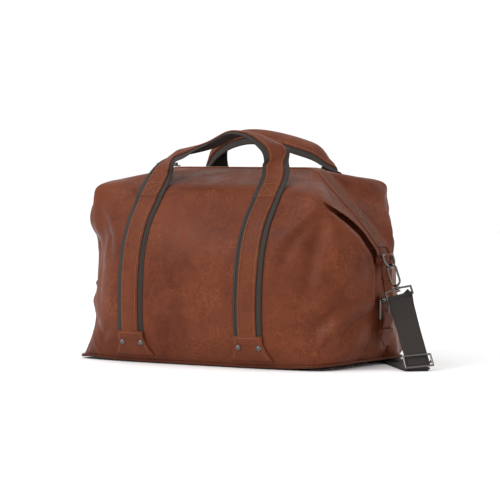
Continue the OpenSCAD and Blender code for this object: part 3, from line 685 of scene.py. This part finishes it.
def zip_teeth():
    path, up = zip_edge(-1, 0.0, -0.0012)
    ways = unit(np.gradient(path, axis=0))
    run = lengths(path)
    teeth = []
    for k, at in enumerate(np.arange(0.001, run[-1] - 0.001, TOOTH_PITCH)):
        centre = read_at(at, run, path)
        along, lift = unit(read_at(at, run, ways)), unit(read_at(at, run, up))
        side = 1 if k % 2 else -1
        points = [centre + along * x + CROSSWISE * side * y + lift * h
                  for x in (-0.00062, 0.00062) for y, h in TOOTH_OUTLINE]
        n = len(TOOTH_OUTLINE)
        faces = [list(range(n))[::-1], list(range(n, 2 * n))] + grid_faces(2, n, wrap=True)
        teeth.append((points, [face[::side] for face in faces]))
    piece("zip_teeth", merged(teeth), "zip_metal", ["zip_chain"], smooth=False)


zip_teeth()

thread_parts, dark_parts = [], []
for side, name in ((-1, "front"), (1, "back")):
    path, up = zip_edge(side, side * 0.0084, -0.0006)
    piece(f"zip_lip_{name}", band(path, CROSSWISE, 0.0140, 0.0014, crown=0.0004, across=9), "trim_leather")
    for y in (-0.0048, 0.0048):
        thread_parts.append(stitches(path + up * 0.0017 + CROSSWISE * y, up))


# ---------------------------------------------------------------- straps sewn to the body

STRIP_X, WEB_W, OVERLAY_W, LAYER = 0.112, 0.050, 0.032, 0.0018
HANDLE_JOIN = 0.262
OVERLAY_SEAM, WEB_SEAM = 0.0132, 0.0215
OVERLAY_CROWN = 0.0005
FOOT_SLOPE = ([0.0145, 0.020, 0.030, 0.040, 0.052], [0.0385, 0.0345, 0.0290, 0.0255, 0.0252])
FOOT_STEP = 0.0016
RIVET = [(0.0, 0.0056), (0.0024, 0.0056), (0.0029, 0.0053), (0.0039, 0.0046), (0.0046, 0.0036),
         (0.0049, 0.0028), (0.0049, 0.0015)]
rivet_parts = []


def strip_grid(side, x, width, low, high, cols=9):
    """A strip of the skin and its normals, nearly flat across its width."""
    points, normals = skin_at(side, x + np.linspace(-width / 2, width / 2, cols), np.linspace(low, high, 90))
    smoothed(normals, 6)
    smoothed(points, 6)
    points[..., 1] += 0.35 * (points.mean(1, keepdims=True) - points)[..., 1]
    return points[:, ::-side], unit(normals)[:, ::-side]


def layer(name, points, normals, low, high, slot, uv=False, **keys):
    """A piece that lies between two heights over a grid, with UVs in metres if it is woven."""
    cloud, faces = sheet_solid(points, normals, low, high)
    shape = cloud, faces
    if uv:
        flat = np.stack(np.meshgrid(lengths(points[0]), lengths(points[:, 0])), -1).reshape(-1, 2)
        shape = cloud, faces, np.concatenate([flat, flat, np.zeros((len(cloud) - 2 * len(flat), 2))])
    return piece(name, shape, slot, **keys)


def crowned(points, normals):
    """A grid raised towards the middle of its width."""
    s = np.linspace(-1, 1, points.shape[1])
    return points + normals * (OVERLAY_CROWN * (1 - s ** 4))[None, :, None]


def foot_patch(side, x, tag):
    """The patch at a strip's foot, flared towards the base, with its stitches and two rivets."""
    heights = np.linspace(0.0145, 0.0515, 34)
    wide_xs = np.linspace(-0.040, 0.040, 33)
    cloth = np.concatenate(skin_at(side, x + wide_xs, heights), 2)
    grid = np.stack([read_at(np.linspace(-half, half, 27), wide_xs, row)
                     for half, row in zip(np.interp(heights, *FOOT_SLOPE), cloth)])[:, ::-side]
    grid, leaning = grid[..., :3], unit(grid[..., 3:])
    step = np.clip((heights - 0.036) / 0.006, 0, 1)
    step = (step * step * (3 - 2 * step))[:, None, None]
    within = np.clip((0.030 - np.abs(grid[:, :, 0:1] - x)) / 0.006, 0, 1)
    raised = grid + leaning * (FOOT_STEP * step * within)
    layer(f"{tag}_foot_patch", raised, leaning, 0.0001, 0.0028, "trim_leather", replaced=[f"{tag}_patch"])
    seam = raised + leaning * 0.0028
    for run in ((slice(1, -2), 2), (slice(1, -2), -3), (-3, slice(2, -2))):
        thread_parts.append(stitches(seam[run], leaning[run]))
    for a in (-0.0185, 0.0185):
        spot, axis = (found[0, 0] for found in skin_at(side, [x + a], [0.0342, 0.0346]))
        sidewise = unit(np.cross(axis, [0, 0, 1.0]))
        third = np.cross(axis, sidewise)
        ring = np.linspace(0, 2 * math.pi, 28, endpoint=False)
        cloud = [spot + axis * h + r * (math.cos(t) * sidewise + math.sin(t) * third)
                 for r, h in RIVET for t in ring]
        rivet_parts.append((cloud, grid_faces(len(RIVET), len(ring), wrap=True, flip=True)))


for side, depth_name in ((-1, "front"), (1, "rear")):
    for sign, side_name in ((-1, "left"), (1, "right")):
        tag, x = f"{depth_name}_{side_name}", sign * STRIP_X
        reach = (0.044, HANDLE_JOIN + 0.0012)
        layer(f"{tag}_strip_webbing", *strip_grid(side, x, WEB_W, *reach), 0.0002, LAYER, "handle_webbing",
              uv=True, replaced=[f"{tag}_strip"])
        over, over_out = strip_grid(side, x, OVERLAY_W, *reach)
        layer(f"{tag}_strip_leather", crowned(over, over_out), over_out, LAYER, 2 * LAYER, "trim_leather",
              replaced=[f"{tag}_overlay"])
        seams = ((OVERLAY_SEAM, 2 * LAYER + 0.0005, thread_parts), (WEB_SEAM, LAYER, dark_parts))
        for a, height, parts in seams:
            for place in (x - a, x + a):
                row, row_out = strip_grid(side, place, 0.002, 0.053, HANDLE_JOIN, cols=3)
                parts.append(stitches(row[:, 1] + row_out[:, 1] * height, row_out[:, 1]))
        foot_patch(side, x, tag)
piece("rivet_heads", merged(rivet_parts), "gunmetal", ["rivets"], material="rivet")


# ---------------------------------------------------------------- handles

# Each handle's band from its left foot to its right, in millimetres: the places of its far or
# outer edge, its middle and its near edge. It faces outward on the body and upward in the hand.
FRONT_GRIP = [
    [(-136, -82, 294), (-111, -82, 294), (-86, -83, 294)], [(-130, -73, 308), (-108, -77, 305), (-85, -81, 303)],
    [(-119, -60, 322), (-103, -75, 313), (-81, -85, 309)], [(-92, -52, 330), (-84, -74, 333), (-74, -92, 319)],
    [(-70, -52, 332), (-62, -73, 339), (-56, -93, 325.5)], [(-36, -50, 339), (-33, -72, 345), (-31, -94, 338)],
    [(-12, -50, 346), (-9, -72, 352), (-8, -95, 347)], [(17, -51, 358), (21, -73, 365), (24, -96, 361.5)],
    [(38, -50, 360), (41, -73, 366), (44, -97, 364)], [(63, -50, 357), (66, -73, 363), (67, -95, 358)],
    [(92, -51, 346), (91, -74, 353), (86, -95, 345)], [(117, -55, 341), (108, -75, 344), (96, -94, 335)],
    [(123, -58, 336), (114, -77, 331), (97, -90, 323)], [(128, -68, 321), (110, -79, 318), (90, -82, 318)],
    [(136, -77, 308), (112, -80, 307), (88, -80, 306)], [(137, -83, 294), (112, -83, 294), (87, -83, 294)]]
REAR_GRIP = [
    [(-87, 79, 294), (-112, 79, 294), (-137, 79, 294)], [(-90, 84, 308), (-113, 76, 306), (-131, 67, 302)],
    [(-97, 90, 324), (-118, 77, 321), (-110, 58, 309)], [(-98, 95, 341), (-113, 76, 339), (-96, 62, 325)],
    [(-84, 97, 354), (-90, 75, 356), (-75, 63, 338)], [(-56, 97, 363), (-58, 74, 366), (-48, 62, 346)],
    [(-24, 97, 364), (-25, 74, 367), (-22, 62, 348)], [(14, 97, 359), (15, 74, 361), (17, 61, 342)],
    [(55, 98, 349), (57, 75, 351), (59, 62, 331)], [(82, 98, 339), (86, 76, 341), (90, 62, 322)],
    [(95, 95, 324), (106, 77, 324), (113, 60, 311)], [(93, 85, 312), (117, 77, 315), (129, 62, 304)],
    [(89, 81, 304), (113, 77, 304), (136, 74, 301)], [(87, 79, 294), (112, 79, 294), (137, 79, 294)]]


def grip_grid(side, stations, rows=260, cols=33):
    """The handle band's inner face as a grid, far edge first, its feet lying on the body."""
    heights = np.array([0.2625, 0.2680, 0.2735])

    def foot(sign):
        xs = [sign * STRIP_X + k * sign * side * WEB_W / 2 for k in (-1, 0, 1)]
        points, normals = skin_at(side, sorted(xs), heights)
        return (points + normals * 0.0006)[:, ::sign * side]

    lines = np.concatenate([foot(-1), np.array(stations, float) * MM, foot(1)[::-1]])
    sample = np.linspace(0, len(lines) - 1, rows)
    far, middle, near = (smoothed(catmull(lines[:, k], sample), 8)[:, None] for k in range(3))
    s = np.linspace(-1, 1, cols)[None, :, None]
    return far * (s * (s - 1) / 2) + middle * (1 - s * s) + near * (s * (s + 1) / 2)


def across_part(grid, half, cols=17):
    """The part of a band's grid within half a width of its middle."""
    full = np.linspace(-WEB_W / 2, WEB_W / 2, grid.shape[1])
    return np.stack([read_at(np.linspace(-half, half, cols), full, row) for row in grid])


def grid_line(grid, normals, a, s, height):
    """Points at places a across and s along a band in metres, lifted off it, and their facing."""
    rows, cols = grid.shape[:2]
    row = np.interp(s, lengths(grid[:, cols // 2]), np.arange(rows))
    col = (a / WEB_W + 0.5) * (cols - 1)
    r0, c0 = np.clip(row.astype(int), 0, rows - 2), np.clip(col.astype(int), 0, cols - 2)
    fr, fc = (row - r0)[:, None], (col - c0)[:, None]

    def pick(values):
        return ((values[r0, c0] * (1 - fc) + values[r0, c0 + 1] * fc) * (1 - fr)
                + (values[r0 + 1, c0] * (1 - fc) + values[r0 + 1, c0 + 1] * fc) * fr)

    facing = unit(pick(normals))
    return pick(grid) + facing * height, facing


CROSS_HALF, CROSS_LENGTH = 0.0128, 0.024
for side, name, stations in ((-1, "front", FRONT_GRIP), (1, "rear", REAR_GRIP)):
    grid = grip_grid(side, stations)
    normals = grid_normals(grid)
    inner, inner_out = across_part(grid, OVERLAY_W / 2), unit(across_part(normals, OVERLAY_W / 2))
    total = lengths(grid[:, 16])[-1]
    along = np.linspace(0.002, total - 0.002, 500)
    rows = [stitches(*grid_line(grid, normals, np.full(500, a), along, 2 * LAYER + 0.0003))
            for a in (-OVERLAY_SEAM, OVERLAY_SEAM)]
    half, t = CROSS_HALF, np.linspace(0, 1, 40)
    for low in (0.003, total - 0.003 - CROSS_LENGTH):
        high = low + CROSS_LENGTH
        for a1, s0, s1 in ((half, low, low), (half, high, high), (half, low, high), (half, high, low)):
            rows.append(stitches(*grid_line(grid, normals, (a1 + half) * t - half, s0 + (s1 - s0) * t,
                                            2 * LAYER + 0.0009)))
    pieces = [layer(f"{name}_grip_webbing", grid, normals, 0, LAYER, "handle_webbing", uv=True,
                    replaced=[f"{name}_handle_webbing"], ride=False),
              layer(f"{name}_grip_leather", crowned(inner, inner_out), inner_out, LAYER, 2 * LAYER,
                    "trim_leather", replaced=[f"{name}_handle_leather"], ride=False),
              piece(f"{name}_grip_stitches", merged(rows), "trim_leather", material="thread", ride=False)]
    for obj in pieces:
        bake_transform(obj)


# ---------------------------------------------------------------- ends: ring tabs and belts

def end_path(places, step):
    """A path at the right end through (x, z) places in millimetres."""
    return even_path([(x * MM, 0, z * MM) for x, z in places], step)


def arc(cx, cz, r, start, stop, count):
    return [(cx + r * math.cos(math.radians(a)), cz + r * math.sin(math.radians(a)))
            for a in np.linspace(start, stop, count)]


# Places in (x, z) at the right end in millimetres
BAR, HEEL = (268, 176), (266.2, 77)
TAB = [(262.6, 150), (262.7, 162), *arc(*BAR, 2.3, 200, -70, 12),
       (266.0, 171.0), (265.0, 162), (264.9, 151)]
ANCHOR = [(262.2, 50), (262.2, 68), (263.6, 73.5), *arc(*HEEL, 2.15, 215, 0, 9),
          *arc(*HEEL, 2.15, -15, -110, 7)]
BELT = [(262.6, 113), (262.8, 104), (266, 94), (270.6, 84), (271.4, 77), (270.2, 69), (267.2, 60),
        (266.2, 50), (266.6, 40), (267.2, 33.5)]
BELT_W, BELT_T = 0.028, 0.0020
KEEPER_X, KEEPER_REACH, KEEPER_HALF = 0.2615, 0.0088, 0.0166


def belt(sign, name):
    """The belt, narrowed to a round tip, with its two rows of stitches."""
    path = end_path(BELT, 0.0012)
    left_over = lengths(path[::-1])[::-1]
    tip = np.clip(left_over / (BELT_W / 2), 0, 1)
    width = BELT_W * np.sqrt(np.clip(1 - (1 - tip) ** 2, 0.02, 1))
    shape = band(path, -CROSSWISE, width, BELT_T, across=9, crown=0.0004)
    piece(f"{name}_belt_leather", shape, "belt_leather", [f"{name}_belt"], sign=sign)
    wide, face = band_ways(path, -CROSSWISE)
    places = np.linspace(0.002, 0.084, 300)
    rows = read_at(places, lengths(path), np.c_[path, wide, face])
    facing = unit(rows[:, 6:])
    for a in (-0.0115, 0.0115):
        line = rows[:, :3] + unit(rows[:, 3:6]) * a + facing * (BELT_T + 0.0001)
        thread_parts.append(stitches(line * (sign, 1, 1), facing * (sign, 1, 1)))


def keeper(sign, name):
    """A closed leather loop round the belt."""
    x0, x1, y = KEEPER_X, KEEPER_X + KEEPER_REACH, KEEPER_HALF
    corners = np.array([(x0, -y), (x1, -y), (x1, y), (x0, y)])
    ring = np.concatenate([np.linspace(a, b, 9)[:-1] for a, b in zip(corners, np.roll(corners, -1, 0))])
    for _ in range(3):
        ring = (np.roll(ring, 1, 0) + 2 * ring + np.roll(ring, -1, 0)) / 4
    centre = ring.mean(0)
    grown = centre + (ring - centre) * (1 + 0.0016 / 0.010, 1 + 0.0016 / KEEPER_HALF)
    cloud = []
    for z, inset in ((0.0545, 0.4), (0.0551, 0.0), (0.0599, 0.0), (0.0605, 0.4),
                     (0.0605, 1.0), (0.0545, 1.0)):
        cloud += [(x, y, z) for x, y in grown + (ring - grown) * inset]
    n = len(ring)
    faces = grid_faces(6, n, wrap=True)
    faces += [[5 * n + c, 5 * n + (c + 1) % n, (c + 1) % n, c] for c in range(n)]
    piece(f"{name}_keeper_leather", (cloud, faces), "belt_leather", [f"{name}_belt_keeper"], sign=sign)


for sign, name in ((1, "right"), (-1, "left")):
    tab = band(end_path(TAB[::-1], 0.0015), CROSSWISE, 0.018, 0.0018, crown=0.0003)
    piece(f"{name}_tab_leather", tab, "trim_leather", [f"{name}_ring_tab"], sign=sign)
    for a in (-0.0070, 0.0070):
        line = even_path([(0.2672, a, 0.152), (0.2674, a, 0.168)], 0.001)
        thread_parts.append(stitches(line * (sign, 1, 1), np.array([sign, 0.0, 0.0])))
    anchor = band(end_path(ANCHOR[::-1], 0.0015), CROSSWISE, 0.028, 0.0016, crown=0.0003)
    piece(f"{name}_anchor_leather", anchor, "belt_leather", [f"{name}_belt_anchor"], sign=sign)
    belt(sign, name)
    keeper(sign, name)


# ---------------------------------------------------------------- shoulder strap

STRAP_W, STRAP_T = 0.038, 0.0018
LEAN = math.radians(20)
BOW_DROP = 68.8 * MM
BOW = np.array([0.268 + math.sin(LEAN) * BOW_DROP, 0, 0.176 - math.cos(LEAN) * BOW_DROP])
HEAD = BOW - np.array([0, 0, 0.004])
BOW_RADIUS, LAYER_APART = 0.0031, 0.0010


def strap_piece(name, stations, step, node, **keys):
    """Webbing through stations in metres: each a place, then the direction of its width."""
    rows = even_path(stations, step)
    shape = band(rows[:, :3], rows[:, 3:], STRAP_W, STRAP_T, lift=-STRAP_T / 2, across=9)
    return piece(name, shape, "strap_webbing", [node], **keys)


FLOOR_Z = 1.2
# The strap on the floor: place in millimetres, then the direction of its width
floor_run = [
    (346, -38, 9, 0.68, 0.73, 0), (346.5, -39.5, 5, 0.7, 0.7, 0), (342, -35, FLOOR_Z, 0.7, 0.7, 0),
    (326, -19, FLOOR_Z, 0.7, 0.7, 0), (290, 20, FLOOR_Z, 0.7, 0.7, 0), (247, 66, FLOOR_Z, 0.7, 0.7, 0),
    (205, 116, FLOOR_Z, 0.77, 0.64, 0), (175, 152, FLOOR_Z, 0.62, 0.78, 0),
    (120, 184, FLOOR_Z, 0.27, 0.96, 0), (40, 190, FLOOR_Z, 0, 1, 0), (-60, 188, FLOOR_Z, 0, 1, 0),
    (-150, 186, FLOOR_Z, -0.1, 1, 0), (-215, 172, FLOOR_Z, -0.4, 0.9, 0),
    (-266, 134, FLOOR_Z, -0.8, 0.6, 0), (-292, 84, FLOOR_Z, -0.97, 0.25, 0), (-302, 46, 3, -1, 0.2, 0),
    (-303.5, 38.5, 7, -1, 0.2, 0)]
strap_piece("strap_on_floor", np.array(floor_run, float) * (MM, MM, MM, 1, 1, 1), 0.003, "shoulder_strap")


def towards(way, aim):
    return way if np.dot(way, aim) > 0 else -way


def drop_band(sign, name, foot, wides):
    """Webbing from the floor up the outer side, round the bow's bar and down behind to its end."""
    head, bow, foot = HEAD * (sign, 1, 1), BOW * (sign, 1, 1), np.array(foot) * MM
    bar, last = (unit(w) for w in wides)
    outward = towards(unit(np.cross(unit(foot - head), bar)), [sign * 0.5, -0.5, 0.5])
    across = towards(unit(np.cross(bar, [0, 0, 1.0])), outward)
    upward = towards(unit(np.cross(across, bar)), [0, 0, 1.0])

    def station(t, height):
        """A place down the drop; its width turns only above the stretch that the slider travels."""
        turned = np.clip((0.45 - t) / 0.45, 0, 1)
        return *(head + (foot - head) * t + outward * height), *unit(last * (1 - turned) + bar * turned)

    rows = [station(t, LAYER_APART) for t in np.linspace(1.06, 0.12, 8)]
    for a in np.radians(np.linspace(-35, 215, 11)):
        rows.append((*(bow + BOW_RADIUS * (across * math.cos(a) + upward * math.sin(a))), *bar))
    rows += [station(t, -LAYER_APART) for t in np.linspace(0.12, 0.80, 6)]
    obj = strap_piece(f"{name}_drop_webbing", rows, 0.0015, f"{name}_strap_drop", ride=False)
    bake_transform(obj)


drop_band(1, "right", (344, -36, 14), [(0.74, 0.616, 0.27), (0.68, 0.73, 0)])
drop_band(-1, "left", (-303, 36, 10), [(-0.74, 0.616, 0.27), (-0.95, 0.25, 0)])


# ---------------------------------------------------------------- stitching and bare metal

piece("body_stitches", merged(thread_parts), "trim_leather", material="thread")
piece("webbing_stitches", merged(dark_parts), "handle_webbing", material="dark_thread")

SIDE_METAL = ("dring", "hook", "hook_gate", "hook_bow", "buckle_frame", "buckle_roller", "buckle_prong")
bare = {"strap_slider": "gunmetal", "zip_slider": "zip_metal", "zip_pull": "zip_metal"}
bare.update({f"{s}_{part}": "gunmetal" for s in ("left", "right") for part in SIDE_METAL})
for node, metal_name in bare.items():
    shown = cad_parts[node]
    shown.data.materials.clear()
    shown.data.materials.append(MATS[metal_name])


# ---------------------------------------------------------------- studio, light and camera

def area_light(name, place, aim, width, power):
    lamp = bpy.data.lights.new(name, "AREA")
    lamp.shape = "RECTANGLE"
    lamp.size, lamp.size_y, lamp.energy = width, width * 0.7, power
    obj = bpy.data.objects.new(name, lamp)
    bpy.context.scene.collection.objects.link(obj)
    obj.location = place
    obj.rotation_euler = (Vector(aim) - Vector(place)).to_track_quat("-Z", "Y").to_euler()


def studio():
    size = 6.0
    floor = mesh_object("floor", [(-size, -size, 0), (size, -size, 0), (size, size, 0), (-size, size, 0)],
                        [[0, 1, 2, 3]])
    new = Surface("floor")
    soft = new.node("TexNoise", Scale=3.0).outputs["Fac"]
    floor.data.materials.append(new.finished(new.ramp(soft, [(0.3, [0.95] * 3), (0.7, [0.96] * 3)]), 0.9))

    world = bpy.data.worlds.new("studio")
    bpy.context.scene.world = world
    world.use_nodes = True
    background = world.node_tree.nodes["Background"]
    background.inputs["Color"].default_value = (1.0, 1.0, 1.0, 1)
    background.inputs["Strength"].default_value = 1.05
    area_light("key", (-0.9, -2.4, 2.0), (0, 0, 0.15), 1.4, 42)
    area_light("top", (-0.6, 0.3, 2.6), (0, 0, 0.2), 1.6, 8)


def camera():
    azimuth = math.radians(34)
    distance, height = 4.36, 0.355
    place = Vector((math.sin(azimuth) * distance, -math.cos(azimuth) * distance, height))
    lens = bpy.data.cameras.new("camera")
    lens.lens, lens.sensor_width = 194.4, 36.0
    obj = bpy.data.objects.new("camera", lens)
    bpy.context.scene.collection.objects.link(obj)
    obj.location = place
    turn = azimuth - math.atan(5 / 2700)
    obj.rotation_euler = (math.radians(90) - math.atan(110 / 2700), 0, turn)
    bpy.context.scene.camera = obj


studio()
camera()
bpy.context.scene.view_settings.view_transform = "Standard"
